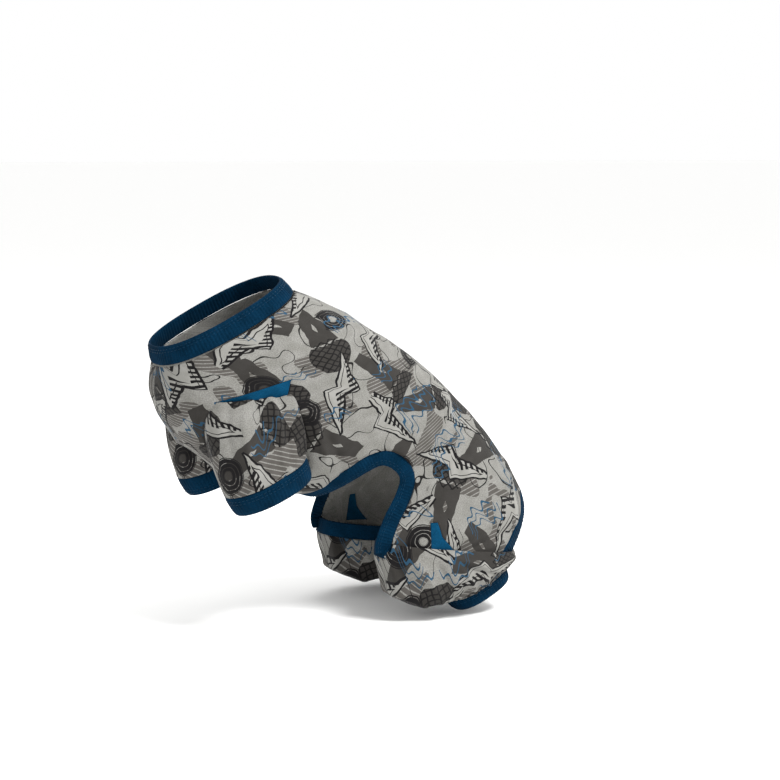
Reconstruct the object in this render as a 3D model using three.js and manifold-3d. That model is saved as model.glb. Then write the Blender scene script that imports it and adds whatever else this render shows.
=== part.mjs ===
// A dog jumpsuit with four short legs, in its worn form: the dog sits and faces -Y.
// Millimetres, +Z up, +X is the dog's left. The origin is the inner face of the back at the withers.
import * as THREE from "three";
import { mergeVertices } from "three/addons/utils/BufferGeometryUtils.js";
import Module from "manifold-3d";

const wasm = await Module();
wasm.setup();
const { CrossSection, Manifold, Mesh } = wasm;

// Driving sizes
const backRun = 208; // nape to tail, along Y
const backDrop = 174; // nape to tail, along Z
const chestDepth = 178; // withers to brisket, along the leaning section
const chestWidth = 118;
const hipWidth = 158;
const wall = 1.8; // jersey
const trimWall = 2.6; // doubled rib knit
const clearance = 0.3; // between sewn pieces
const neckBandDepth = 15;
const neckBandTaper = 5; // how far the band's top edge draws in
const bindingWidth = 12;
const sleeveLength = 60; // front to back
const sleeveHeight = 104; // shoulder to cuff
const sleeveThickness = 54; // side to side
const sleeveCuffDepth = 17;
const legLength = 122; // knee to hock
const legHeight = 56; // fold under the thigh to the lowest cloth
const legThickness = 54;
const legCuffDepth = 12;
const cuffTaper = 2; // how far a cuff's hem draws in
const lap = 6; // the body's edge that a sleeve or leg covers

const sliver = 0.04; // facets thinner than this are merged into their neighbours
const bodySides = 40;
const bodySteps = 20;
const limbSides = 24;
const limbSteps = 8;
const bodySquareness = 0.83; // 1 is an ellipse, less is squarer
const sleeveSquareness = 0.95;
const legSquareness = 0.78;

// Body sections from neck to tail. run and drop place the back's line: shares of backRun and backDrop
// from the withers. depth is a share of chestDepth. lean is the section's tilt forward from straight
// down, in degrees. chest and hip are the shares of chestWidth and hipWidth that make up its width.
const bodySections = [
  { run: -0.192, drop: -0.098, depth: 0.69, lean: 63.0, chest: 0.82, hip: 0.0 },
  { run: -0.11, drop: -0.063, depth: 0.83, lean: 59.5, chest: 0.91, hip: 0.0 },
  { run: 0.0, drop: 0.0, depth: 0.92, lean: 56.0, chest: 0.97, hip: 0.0 },
  { run: 0.115, drop: 0.078, depth: 0.94, lean: 52.0, chest: 1.0, hip: 0.0 },
  { run: 0.235, drop: 0.167, depth: 0.95, lean: 47.5, chest: 1.0, hip: 0.0 },
  { run: 0.355, drop: 0.272, depth: 0.8, lean: 42.0, chest: 0.84, hip: 0.12 },
  { run: 0.47, drop: 0.4, depth: 1.18, lean: 36.0, chest: 0.4, hip: 0.55 },
  { run: 0.585, drop: 0.545, depth: 1.18, lean: 36.5, chest: 0.0, hip: 0.97 },
  { run: 0.675, drop: 0.695, depth: 1.06, lean: 37.5, chest: 0.0, hip: 1.0 },
  { run: 0.74, drop: 0.82, depth: 0.93, lean: 38.0, chest: 0.0, hip: 0.94 },
  { run: 0.768, drop: 0.9, depth: 0.84, lean: 37.0, chest: 0.0, hip: 0.83 },
];

// Sleeve rings from inside the shoulder to the cuff. side is the ring's middle, a share of half the
// chest's width. front and rear are shares of the limb's length from its start, frontDown and rearDown
// of its height, and thickness of its thickness.
const sleeveSections = [
  { side: 0.5, front: 0.06, frontDown: 0.02, rear: 0.94, rearDown: -0.06, thickness: 0.98 },
  { side: 0.6, front: -0.1, frontDown: 0.28, rear: 1.02, rearDown: 0.14, thickness: 1.0 },
  { side: 0.69, front: -0.16, frontDown: 0.52, rear: 1.08, rearDown: 0.34, thickness: 1.02 },
  { side: 0.78, front: -0.1, frontDown: 0.77, rear: 1.13, rearDown: 0.54, thickness: 1.0 },
  { side: 0.85, front: 0.05, frontDown: 1.02, rear: 1.11, rearDown: 0.74, thickness: 0.98 },
];

// Lower leg rings from inside the thigh to the cuff, with the sleeve's columns: side is a share of half
// the hip's width.
const legSections = [
  { side: 0.66, front: 0.07, frontDown: -0.1, rear: 0.99, rearDown: 0.1, thickness: 1.02 },
  { side: 0.68, front: 0.04, frontDown: 0.18, rear: 1.01, rearDown: 0.22, thickness: 1.06 },
  { side: 0.69, front: 0.06, frontDown: 0.46, rear: 1.02, rearDown: 0.29, thickness: 1.08 },
  { side: 0.69, front: 0.14, frontDown: 0.75, rear: 1.02, rearDown: 0.34, thickness: 1.06 },
  { side: 0.685, front: 0.28, frontDown: 0.93, rear: 1.015, rearDown: 0.385, thickness: 1.0 },
  { side: 0.68, front: 0.43, frontDown: 0.94, rear: 0.99, rearDown: 0.42, thickness: 0.9 },
  { side: 0.675, front: 0.55, frontDown: 0.915, rear: 0.955, rearDown: 0.455, thickness: 0.78 },
];

// Folds pressed into the cloth: place along the piece, angle round it in degrees (0 at the back or the
// rear, 180 at the belly or the front), their reach along and round it, and height outward in mm.
const bodyFolds = [
  { place: 0.2, angle: 38, reach: 0.05, spread: 30, height: 1.3 },
  { place: 0.3, angle: 62, reach: 0.035, spread: 26, height: -1.6 },
  { place: 0.41, angle: 84, reach: 0.035, spread: 34, height: 1.8 },
  { place: 0.47, angle: 60, reach: 0.03, spread: 40, height: -1.6 },
  { place: 0.56, angle: 44, reach: 0.035, spread: 30, height: 1.5 },
  { place: 0.68, angle: 92, reach: 0.06, spread: 12, height: 2.2 },
  { place: 0.76, angle: 74, reach: 0.09, spread: 9, height: -2.0 },
  { place: 0.88, angle: 62, reach: 0.05, spread: 16, height: 1.6 },
];
const sleeveFolds = [
  { place: 0.33, angle: 95, reach: 0.13, spread: 48, height: -7.0 },
  { place: 0.6, angle: 52, reach: 0.5, spread: 14, height: 1.6 },
  { place: 0.7, angle: 84, reach: 0.4, spread: 12, height: -1.5 },
  { place: 0.5, angle: 118, reach: 0.5, spread: 15, height: 1.4 },
];
const legFolds = [
  { place: 0.55, angle: 60, reach: 0.12, spread: 40, height: 2.0 },
  { place: 0.72, angle: 96, reach: 0.09, spread: 34, height: -2.2 },
  { place: 0.8, angle: 130, reach: 0.12, spread: 14, height: 2.4 },
  { place: 0.8, angle: 162, reach: 0.12, spread: 12, height: -2.2 },
  { place: 0.35, angle: 150, reach: 0.14, spread: 20, height: -1.6 },
];

// Side views, as shares of backRun and backDrop from the withers.
const flankOutline = [
  { run: -0.13, drop: 1.4 },
  { run: -0.135, drop: 0.95 },
  { run: -0.115, drop: 0.858 },
  { run: -0.047, drop: 0.772 },
  { run: 0.042, drop: 0.699 },
  { run: 0.09, drop: 0.691 },
  { run: 0.132, drop: 0.738 },
  { run: 0.118, drop: 0.807 },
  { run: 0.068, drop: 0.915 },
  { run: 0.034, drop: 1.02 },
  { run: 0.026, drop: 1.4 },
];
const sleeveHead = [
  { run: -0.6, drop: 0.365 },
  { run: -0.319, drop: 0.341 },
];
const legHead = [
  { run: 0.04, drop: 1.03 },
  { run: 0.62, drop: 1.125 },
];
const sleeveInset = [
  { run: -0.576, drop: 0.363 },
  { run: -0.302, drop: 0.275 },
  { run: -0.319, drop: 0.35 },
];
const legInset = [
  { run: 0.236, drop: 0.95 },
  { run: 0.262, drop: 0.95 },
  { run: 0.276, drop: 1.015 },
  { run: 0.327, drop: 1.09 },
  { run: 0.23, drop: 1.08 },
];

// Catmull-Rom value of one column of a table, at place 0 for the first row and 1 for the last.
function columnAt(table, column, place) {
  const spot = THREE.MathUtils.clamp(place, 0, 1) * (table.length - 1);
  const row = Math.min(Math.floor(spot), table.length - 2);
  const t = spot - row;
  const [a, b, c, d] = [row - 1, row, row + 1, row + 2].map(
    (i) => table[THREE.MathUtils.clamp(i, 0, table.length - 1)][column]
  );
  const linear = (c - a) * t;
  const square = (2 * a - 5 * b + 4 * c - d) * t * t;
  const cube = (3 * b - a - 3 * c + d) * t * t * t;
  return (2 * b + linear + square + cube) / 2;
}

function signedPower(value, power) {
  return Math.sign(value) * Math.abs(value) ** power;
}

function sidePoint({ run, drop }) {
  return new THREE.Vector3(0, run * backRun, wall - drop * backDrop);
}

// Closed solid through rings of equal count, with a fan over each end.
function loft(rings) {
  const sides = rings[0].length;
  const points = rings.flat();
  const triangles = [];
  for (let row = 0; row < rings.length - 1; row += 1) {
    for (let side = 0; side < sides; side += 1) {
      const a = row * sides + side;
      const b = row * sides + ((side + 1) % sides);
      triangles.push([a, b, b + sides], [a, b + sides, a + sides]);
    }
  }
  for (const row of [0, rings.length - 1]) {
    const middle = rings[row].reduce((sum, point) => sum.add(point), new THREE.Vector3());
    points.push(middle.divideScalar(sides));
    for (let side = 0; side < sides; side += 1) {
      const edge = [row * sides + side, row * sides + ((side + 1) % sides)];
      triangles.push(row === 0 ? [points.length - 1, edge[1], edge[0]] : [points.length - 1, ...edge]);
    }
  }
  const solidOf = (order) => new Manifold(new Mesh({
    numProp: 3,
    vertProperties: new Float32Array(points.flatMap((point) => point.toArray())),
    triVerts: new Uint32Array(triangles.flatMap(order)),
  }));
  const solid = solidOf(([a, b, c]) => [a, b, c]);
  return solid.volume() > 0 ? solid : solidOf(([a, b, c]) => [a, c, b]);
}

// Outward height of a list of folds at a place and an angle, alike on the left and the right.
function foldHeight(folds, place, angle) {
  const degrees = THREE.MathUtils.radToDeg(angle > Math.PI ? 2 * Math.PI - angle : angle);
  return folds.reduce((sum, fold) => {
    const along = (place - fold.place) / fold.reach;
    const round = (degrees - fold.angle) / fold.spread;
    return sum + fold.height * Math.exp(-along * along - round * round);
  }, 0);
}

// Ring round a middle, from the end of -along over +across, with each point raised by its fold.
function ringOf(middle, across, along, sides, squareness, raise = () => 0) {
  return Array.from({ length: sides }, (_, side) => {
    const angle = (side / sides) * 2 * Math.PI;
    const spoke = across
      .clone()
      .multiplyScalar(signedPower(Math.sin(angle), squareness))
      .addScaledVector(along, -signedPower(Math.cos(angle), squareness));
    return spoke.setLength(spoke.length() + raise(angle)).add(middle);
  });
}

const sideways = new THREE.Vector3(1, 0, 0);

// Frame of a body section: its middle, its half width, its half depth and the way down it.
function bodyFrame(place) {
  const column = (name) => columnAt(bodySections, name, place);
  const lean = THREE.MathUtils.degToRad(column("lean"));
  const down = new THREE.Vector3(0, -Math.sin(lean), -Math.cos(lean));
  const halfDepth = (column("depth") * chestDepth) / 2;
  const halfWidth = (column("chest") * chestWidth + column("hip") * hipWidth) / 2;
  const middle = sidePoint({ run: column("run"), drop: column("drop") }).addScaledVector(down, halfDepth);
  return { middle, halfWidth, halfDepth, down };
}

// A body solid, run on past both its ends by a distance.
function bodySolid(grow, beyond = 0) {
  const rings = Array.from({ length: bodySteps + 1 }, (_, step) => {
    const place = step / bodySteps;
    const { middle, halfWidth, halfDepth, down } = bodyFrame(place);
    const across = sideways.clone().multiplyScalar(halfWidth + grow);
    const along = down.clone().multiplyScalar(halfDepth + grow);
    const raise = (angle) => foldHeight(bodyFolds, place, angle);
    return ringOf(middle, across, along, bodySides, bodySquareness, raise);
  });
  if (beyond > 0) {
    const forward = neckward.clone().multiplyScalar(beyond);
    const behind = tailward.clone().multiplyScalar(beyond);
    rings.unshift(rings[0].map((point) => point.clone().add(forward)));
    rings.push(rings.at(-1).map((point) => point.clone().add(behind)));
  }
  return loft(rings);
}

const neck = bodyFrame(0);
const rump = bodyFrame(1);
const neckward = new THREE.Vector3(0, neck.down.z, -neck.down.y);
const tailward = new THREE.Vector3(0, -rump.down.z, rump.down.y);

// Frame of a limb's ring: its middle, its half sizes, the way to its rear and the way out of its hem.
function limbFrame(limb, place) {
  const column = (name) => columnAt(limb.sections, name, place);
  const start = sidePoint(limb.start);
  const at = (along, down) => new THREE.Vector3(0, along * limb.length, -down * limb.height).add(start);
  const front = at(column("front"), column("frontDown"));
  const rear = at(column("rear"), column("rearDown"));
  const rearward = rear.clone().sub(front).normalize();
  return {
    middle: front.clone().add(rear).multiplyScalar(0.5).setX((column("side") * limb.width) / 2),
    halfLength: front.distanceTo(rear) / 2,
    halfThickness: (column("thickness") * limb.thickness) / 2,
    rearward,
    out: new THREE.Vector3(0, rearward.z, -rearward.y),
  };
}

function limbRing(limb, frame, grow, raise) {
  const across = sideways.clone().multiplyScalar(frame.halfThickness + grow);
  const along = frame.rearward.clone().multiplyScalar(-frame.halfLength - grow);
  return ringOf(frame.middle, across, along, limbSides, limb.squareness, raise);
}

// A limb's solid, run on past its hem by a distance.
function limbSolid(limb, grow, beyond = 0) {
  const places = Array.from({ length: limbSteps + 1 }, (_, step) => step / limbSteps);
  const rings = places.map((place) => {
    const settled = 1 - THREE.MathUtils.smoothstep(place, 0.8, 1);
    const raise = (angle) => settled * foldHeight(limb.folds, place, angle);
    return limbRing(limb, limbFrame(limb, place), grow, raise);
  });
  if (beyond > 0) {
    const past = limbFrame(limb, 1).out.multiplyScalar(beyond);
    rings.push(rings.at(-1).map((point) => point.clone().add(past)));
  }
  return loft(rings);
}

// The left sleeve and lower leg. The right ones mirror them.
const sleeve = {
  sections: sleeveSections,
  folds: sleeveFolds,
  start: { run: -0.56, drop: 0.17 },
  width: chestWidth,
  length: sleeveLength,
  height: sleeveHeight,
  thickness: sleeveThickness,
  squareness: sleeveSquareness,
  cuffDepth: sleeveCuffDepth,
};
const leg = {
  sections: legSections,
  folds: legFolds,
  start: { run: 0.038, drop: 1.04 },
  width: hipWidth,
  length: legLength,
  height: legHeight,
  thickness: legThickness,
  squareness: legSquareness,
  cuffDepth: legCuffDepth,
};

function bothSides(solid) {
  return Manifold.union(solid, solid.mirror([1, 0, 0]));
}

// Solid across half or all of the body with a side view's outline, grown outward by a distance.
function sidePrism(outline, grow, fromX) {
  const points = outline.map(({ y, z }) => [y, z]);
  const flat = new CrossSection([points], "NonZero").offset(grow, "Round", 2, 24);
  return flat.extrude(hipWidth).rotate([90, 0, 90]).translate([fromX, 0, 0]);
}

// Part of a solid below or above the line of two side points, moved down by a distance.
function cutAt(solid, line, lowered, keepBelow) {
  const [front, rear] = line.map(sidePoint);
  const along = rear.clone().sub(front).normalize();
  const upward = new THREE.Vector3(0, -along.z, along.y);
  const height = upward.dot(front) - lowered;
  return keepBelow
    ? solid.trimByPlane(upward.clone().negate().toArray(), -height)
    : solid.trimByPlane(upward.toArray(), height);
}

// The belly opening as seen from the side, its outline smoothed through the table's points.
function flankOpening(grow) {
  const smooth = new THREE.CatmullRomCurve3(flankOutline.map(sidePoint)).getPoints(3 * flankOutline.length);
  return sidePrism(smooth, grow, -hipWidth / 2).scale([1.2, 1, 1]);
}

// Shell between two growths of the body, open at the neck and the rump.
function bodyShell(outer, inner) {
  return bodySolid(outer).subtract(bodySolid(inner, trimWall));
}

const group = new THREE.Group();

// The largest body of a solid, without the crumbs and slivers that a cut leaves.
function mainBody(solid) {
  const largest = solid.decompose().sort((a, b) => b.volume() - a.volume())[0];
  return largest.simplify(sliver);
}

function addPiece(name, pieces, material) {
  const solid = mainBody(pieces);
  const { vertProperties, triVerts, numProp } = solid.getMesh();
  const geometry = new THREE.BufferGeometry();
  const positions = new Float32Array((vertProperties.length / numProp) * 3);
  for (let i = 0; i < positions.length / 3; i += 1) {
    positions.set(vertProperties.subarray(i * numProp, i * numProp + 3), i * 3);
  }
  geometry.setAttribute("position", new THREE.BufferAttribute(positions, 3));
  geometry.setIndex(new THREE.BufferAttribute(triVerts, 1));
  const mesh = new THREE.Mesh(mergeVertices(geometry), material);
  mesh.name = name;
  group.add(mesh);
}

const jersey = new THREE.MeshStandardMaterial({ color: 0xb9b8b2, roughness: 0.9, metalness: 0 });
const insetKnit = new THREE.MeshStandardMaterial({ color: 0x0f6397, roughness: 0.85, metalness: 0 });
const ribKnit = new THREE.MeshStandardMaterial({ color: 0x0b4468, roughness: 0.85, metalness: 0 });

// The part of a solid further than a distance behind the neck's plane.
function behindNeck(solid, distance) {
  const normal = neckward.clone().negate();
  return solid.trimByPlane(normal.toArray(), normal.dot(neck.middle) + distance);
}

// The part of a solid further than a distance in front of the rump's plane, or nearer than it.
function beforeRump(solid, distance) {
  const normal = tailward.clone().negate();
  return solid.trimByPlane(normal.toArray(), normal.dot(rump.middle) + distance);
}
function nearRump(solid, distance) {
  return solid.trimByPlane(tailward.toArray(), tailward.dot(rump.middle) - distance);
}

const trimSpread = (trimWall - wall) / 2;
const surroundings = Manifold.cube([2 * hipWidth, 3 * backRun, 3 * backDrop], true);

// Keeps a solid above the lower legs' head line, and below it only what is inside the legs' hollow.
function endInLegs(solid, lowered) {
  const hollow = bothSides(limbSolid(leg, -wall - clearance));
  const beside = cutAt(surroundings, legHead, -clearance, true).subtract(hollow);
  return cutAt(solid.subtract(beside), legHead, lowered, false);
}

function cuffSolid(limb, grow, from, to) {
  const end = limbFrame(limb, 1);
  const rings = [from, to].map((distance) => {
    const middle = end.middle.clone().addScaledVector(end.out, distance);
    return limbRing(limb, { ...end, middle }, grow - (cuffTaper * distance) / limb.cuffDepth);
  });
  return loft(rings);
}

function cuff(limb) {
  const outer = cuffSolid(limb, trimSpread, clearance, limb.cuffDepth);
  return outer.subtract(cuffSolid(limb, trimSpread - trimWall, -clearance, limb.cuffDepth + clearance));
}

// What the sleeves take out of the body's walls.
function armholes() {
  const upper = cutAt(limbSolid(sleeve, 0, clearance), sleeveHead, lap, true);
  const lower = cuffSolid(sleeve, trimSpread + clearance, -clearance, sleeveCuffDepth + clearance);
  return bothSides(Manifold.union(upper, lower));
}

function insets(outline, grow) {
  return sidePrism(outline.map(sidePoint), grow, 0);
}

function body() {
  let solid = bodyShell(0, -wall).subtract(flankOpening(bindingWidth + clearance));
  solid = beforeRump(solid, bindingWidth + clearance);
  solid = endInLegs(solid, lap);
  const inlaid = Manifold.union(insets(sleeveInset, clearance), insets(legInset, clearance));
  return solid.subtract(armholes()).subtract(bothSides(inlaid));
}

function inset(outline) {
  return endInLegs(bodyShell(0, -wall).intersect(insets(outline, 0)), lap).subtract(armholes());
}

function neckBand() {
  const ringAt = (grow, distance) => {
    const drawn = grow - (neckBandTaper * distance) / neckBandDepth;
    const across = sideways.clone().multiplyScalar(neck.halfWidth + drawn);
    const along = neck.down.clone().multiplyScalar(neck.halfDepth + drawn);
    const middle = neck.middle.clone().addScaledVector(neckward, distance);
    return ringOf(middle, across, along, bodySides, bodySquareness);
  };
  const band = (grow, from, to) => loft([ringAt(grow, from), ringAt(grow, to)]);
  const outer = band(trimSpread, clearance, neckBandDepth);
  return outer.subtract(band(trimSpread - trimWall, -clearance, neckBandDepth + clearance));
}

// Binding round the belly opening: under the chest, up both flanks and down the fronts of the thighs.
function bellyBinding() {
  const walls = bodyShell(trimSpread, -wall - trimSpread);
  const band = flankOpening(bindingWidth).subtract(flankOpening(0));
  return endInLegs(walls.intersect(band), lap).subtract(armholes());
}

// Binding over the tail, down to the lower legs.
function rumpBinding() {
  return endInLegs(nearRump(bodyShell(trimSpread, -wall - trimSpread), bindingWidth), lap);
}

// Binding along the inner top edge of the left lower leg.
function legBinding() {
  const walls = limbSolid(leg, trimSpread).subtract(limbSolid(leg, -wall - trimSpread, trimWall));
  const band = cutAt(cutAt(walls, legHead, 0, true), legHead, bindingWidth, false);
  return band.intersect(bodySolid(-wall - trimSpread - clearance));
}

function limbShell(limb, head) {
  const walls = limbSolid(limb, 0).subtract(limbSolid(limb, -wall, trimWall));
  return cutAt(walls, head, 0, true);
}

function sleevePiece() {
  return limbShell(sleeve, sleeveHead).subtract(behindNeck(bodySolid(clearance), 0));
}

// The lower leg leaves room for the body's walls and for the binding along its inner top edge.
function legPiece() {
  const walls = bodyShell(trimSpread + clearance, -wall - trimSpread - clearance);
  const room = cutAt(surroundings, legHead, bindingWidth + clearance, false);
  const innerTop = room.intersect(bodySolid(-wall - trimSpread));
  return limbShell(leg, legHead)
    .subtract(cutAt(walls, legHead, lap + clearance, false))
    .subtract(innerTop);
}

addPiece("body", body(), jersey);
addPiece("neck_band", neckBand(), ribKnit);
addPiece("belly_binding", bellyBinding(), ribKnit);
addPiece("rump_binding", rumpBinding(), ribKnit);

const leftPieces = [
  ["front_sleeve", sleevePiece(), jersey],
  ["front_cuff", cuff(sleeve), ribKnit],
  ["shoulder_inset", inset(sleeveInset), insetKnit],
  ["hind_leg", legPiece(), jersey],
  ["hind_cuff", cuff(leg), ribKnit],
  ["leg_binding", legBinding(), ribKnit],
  ["thigh_inset", inset(legInset), insetKnit],
];
for (const [name, solid, material] of leftPieces) {
  addPiece(`${name}_left`, solid, material);
  addPiece(`${name}_right`, mainBody(solid).mirror([1, 0, 0]), material);
}

export default group;
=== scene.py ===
"""Pet jumpsuit in its worn, sitting form: printed jersey body, sleeves and legs, and blue rib trims."""

import math

import bmesh
import bpy
import numpy as np
from mathutils import Matrix, Vector


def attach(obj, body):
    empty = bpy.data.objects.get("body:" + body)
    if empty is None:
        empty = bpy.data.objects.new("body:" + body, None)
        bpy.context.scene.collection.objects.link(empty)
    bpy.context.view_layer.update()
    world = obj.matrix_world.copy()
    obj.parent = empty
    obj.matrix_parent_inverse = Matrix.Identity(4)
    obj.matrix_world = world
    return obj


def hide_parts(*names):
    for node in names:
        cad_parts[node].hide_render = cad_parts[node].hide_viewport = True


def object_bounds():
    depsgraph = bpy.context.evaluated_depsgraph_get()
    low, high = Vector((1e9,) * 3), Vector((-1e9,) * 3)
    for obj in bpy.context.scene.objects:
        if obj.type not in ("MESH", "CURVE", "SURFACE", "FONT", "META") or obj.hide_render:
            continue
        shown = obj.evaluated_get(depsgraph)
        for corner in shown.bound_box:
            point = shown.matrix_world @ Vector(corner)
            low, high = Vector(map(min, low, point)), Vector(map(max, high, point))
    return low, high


# The start-up file's own objects go first, so that the bounds measure the frame alone.
for leftover in ("Cube", "Light", "Camera"):
    if leftover in bpy.data.objects:
        bpy.data.objects.remove(bpy.data.objects[leftover])
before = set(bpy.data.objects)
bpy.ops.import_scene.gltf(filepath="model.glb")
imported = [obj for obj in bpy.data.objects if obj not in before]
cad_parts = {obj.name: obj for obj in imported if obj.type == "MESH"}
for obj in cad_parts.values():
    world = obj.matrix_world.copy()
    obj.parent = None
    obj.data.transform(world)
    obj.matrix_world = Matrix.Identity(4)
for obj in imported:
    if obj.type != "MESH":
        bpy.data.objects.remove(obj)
cad_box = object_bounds()

# The body is one panel of single jersey, a thin cotton knit that stretches when it is worn. It
# lies smooth on the back and creases behind the sleeves, at the belly and at the thighs. Sizes are
# millimetres, and the side view's places are shares of the back's run and drop.
MM = 0.001
back_run, back_drop = 208, 174
chest_depth, chest_width, hip_width = 178, 118, 158
# The jersey's solid wall, and the thinner one that shows at its edges.
jersey_wall, jersey_shown = 1.8, 1.3
body_squareness = 0.83
body_sections = [
    {"run": -0.192, "drop": -0.098, "depth": 0.69, "lean": 63.0, "chest": 0.82, "hip": 0.0},
    {"run": -0.11, "drop": -0.063, "depth": 0.83, "lean": 59.5, "chest": 0.91, "hip": 0.0},
    {"run": 0.0, "drop": 0.0, "depth": 0.92, "lean": 56.0, "chest": 0.97, "hip": 0.0},
    {"run": 0.115, "drop": 0.078, "depth": 0.94, "lean": 52.0, "chest": 1.0, "hip": 0.0},
    {"run": 0.235, "drop": 0.167, "depth": 0.95, "lean": 47.5, "chest": 1.0, "hip": 0.0},
    {"run": 0.355, "drop": 0.272, "depth": 0.8, "lean": 42.0, "chest": 0.84, "hip": 0.12},
    {"run": 0.47, "drop": 0.4, "depth": 1.18, "lean": 36.0, "chest": 0.4, "hip": 0.55},
    {"run": 0.585, "drop": 0.545, "depth": 1.18, "lean": 36.5, "chest": 0.0, "hip": 0.97},
    {"run": 0.675, "drop": 0.695, "depth": 1.06, "lean": 37.5, "chest": 0.0, "hip": 1.0},
    {"run": 0.74, "drop": 0.82, "depth": 0.93, "lean": 38.0, "chest": 0.0, "hip": 0.94},
    {"run": 0.768, "drop": 0.9, "depth": 0.84, "lean": 37.0, "chest": 0.0, "hip": 0.83},
]
# Broad folds: place along the piece, angle round it in degrees from the back, their reach along and
# round it, and height outward in millimetres.
body_swells = [
    {"place": 0.2, "angle": 38, "reach": 0.05, "spread": 30, "height": 1.3},
    {"place": 0.3, "angle": 62, "reach": 0.035, "spread": 26, "height": -1.6},
    {"place": 0.41, "angle": 84, "reach": 0.035, "spread": 34, "height": 1.8},
    {"place": 0.47, "angle": 60, "reach": 0.03, "spread": 40, "height": -1.6},
    {"place": 0.56, "angle": 44, "reach": 0.035, "spread": 30, "height": 1.5},
    {"place": 0.68, "angle": 92, "reach": 0.06, "spread": 12, "height": 2.2},
    {"place": 0.76, "angle": 74, "reach": 0.09, "spread": 9, "height": -2.0},
    {"place": 0.88, "angle": 62, "reach": 0.05, "spread": 16, "height": 1.6},
]
# Creases as straight lines in the side view, from (run, drop) to (run, drop), with the height of
# the ridge and its half width in millimetres.
body_creases = [
    {"from": (-0.27, 0.44), "to": (-0.21, 0.8), "height": -3.1, "width": 5.8},
    {"from": (-0.22, 0.4), "to": (-0.13, 0.78), "height": 2.6, "width": 5.2},
    {"from": (-0.17, 0.5), "to": (-0.06, 0.74), "height": -2.0, "width": 4.6},
    {"from": (-0.24, 0.3), "to": (0.02, 0.02), "height": 1.8, "width": 8.0},
    {"from": (-0.16, 0.38), "to": (0.14, 0.12), "height": -1.6, "width": 6.9},
    {"from": (0.02, 0.66), "to": (0.18, 0.42), "height": 1.8, "width": 5.8},
    {"from": (0.12, 0.68), "to": (0.3, 0.46), "height": 2.2, "width": 6.3},
    {"from": (0.15, 0.74), "to": (0.38, 0.56), "height": -2.3, "width": 5.8},
    {"from": (0.13, 0.86), "to": (0.45, 0.66), "height": 2.3, "width": 6.9},
    {"from": (0.12, 0.97), "to": (0.3, 0.84), "height": -2.6, "width": 5.2},
    {"from": (0.3, 1.05), "to": (0.62, 0.93), "height": 3.1, "width": 5.8},
    {"from": (0.36, 1.09), "to": (0.6, 1.02), "height": -3.1, "width": 4.6},
    {"from": (0.5, 0.95), "to": (0.68, 0.72), "height": 1.8, "width": 6.9},
    {"from": (-0.46, 0.2), "to": (-0.3, 0.05), "height": 1.6, "width": 6.9},
    {"from": (-0.6, 0.5), "to": (-0.66, 0.78), "height": 2.0, "width": 5.8},
    {"from": (-0.5, 0.75), "to": (-0.62, 0.9), "height": -2.0, "width": 5.8},
]
# Small waves in all directions: their height, the shortest and longest of them, and the seed.
body_ripple = {"height": 0.28, "shortest": 16, "longest": 46, "seed": 5}


def column_at(table, column, place):
    """Catmull-Rom value of one column, at place 0 for the first row and 1 for the last."""
    rows = np.array([row[column] for row in table], float)
    spot = np.clip(place, 0, 1) * (len(rows) - 1)
    row = np.minimum(spot.astype(int), len(rows) - 2)
    t = spot - row
    a, b, c, d = (rows[np.clip(row + step, 0, len(rows) - 1)] for step in (-1, 0, 1, 2))
    linear = (c - a) * t
    square = (2 * a - 5 * b + 4 * c - d) * t**2
    cube = (3 * b - a - 3 * c + d) * t**3
    return (2 * b + linear + square + cube) / 2


def signed_power(value, power):
    return np.sign(value) * np.abs(value) ** power


def side_point(run, drop):
    """Point on the middle plane, in millimetres, of a place in the side view."""
    run, drop = np.broadcast_arrays(np.asarray(run, float), np.asarray(drop, float))
    return np.stack([np.zeros_like(run), run * back_run, jersey_wall - drop * back_drop], -1)


def body_frame(place):
    """Middle, half width, half length, the way along and the way out of the body's section."""
    lean = np.radians(column_at(body_sections, "lean", place))
    down = np.stack([0 * lean, -np.sin(lean), -np.cos(lean)], -1)
    half_depth = column_at(body_sections, "depth", place) * chest_depth / 2
    chest = column_at(body_sections, "chest", place) * chest_width
    half_width = (chest + column_at(body_sections, "hip", place) * hip_width) / 2
    back = side_point(
        column_at(body_sections, "run", place), column_at(body_sections, "drop", place)
    )
    tailward = np.stack([0 * lean, -down[..., 2], down[..., 1]], -1)
    return back + down * half_depth[..., None], half_width, half_depth, -down, tailward


def swell(table, place, angle):
    """Outward height of a table of broad folds, alike on the left and the right."""
    degrees = np.degrees(np.abs(angle))
    height = 0 * degrees
    for fold in table:
        along = (place - fold["place"]) / fold["reach"]
        round_it = (degrees - fold["angle"]) / fold["spread"]
        height = height + fold["height"] * np.exp(-(along**2) - round_it**2)
    return height


def surface_point(frame_of, squareness, swells, place, angle, grow=0.0):
    """Point of a tube's surface, angle 0 at its back or rear, grown outward by a distance."""
    middle, half_width, half_length, rearward, _ = frame_of(place)
    across = (half_width + grow) * signed_power(np.sin(angle), squareness)
    along = (half_length + grow) * signed_power(np.cos(angle), squareness)
    spoke = rearward * along[..., None]
    spoke[..., 0] += across
    length = np.linalg.norm(spoke, axis=-1)
    raised = length + swell(swells, place, angle)
    return middle + spoke * (raised / length)[..., None]


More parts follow.
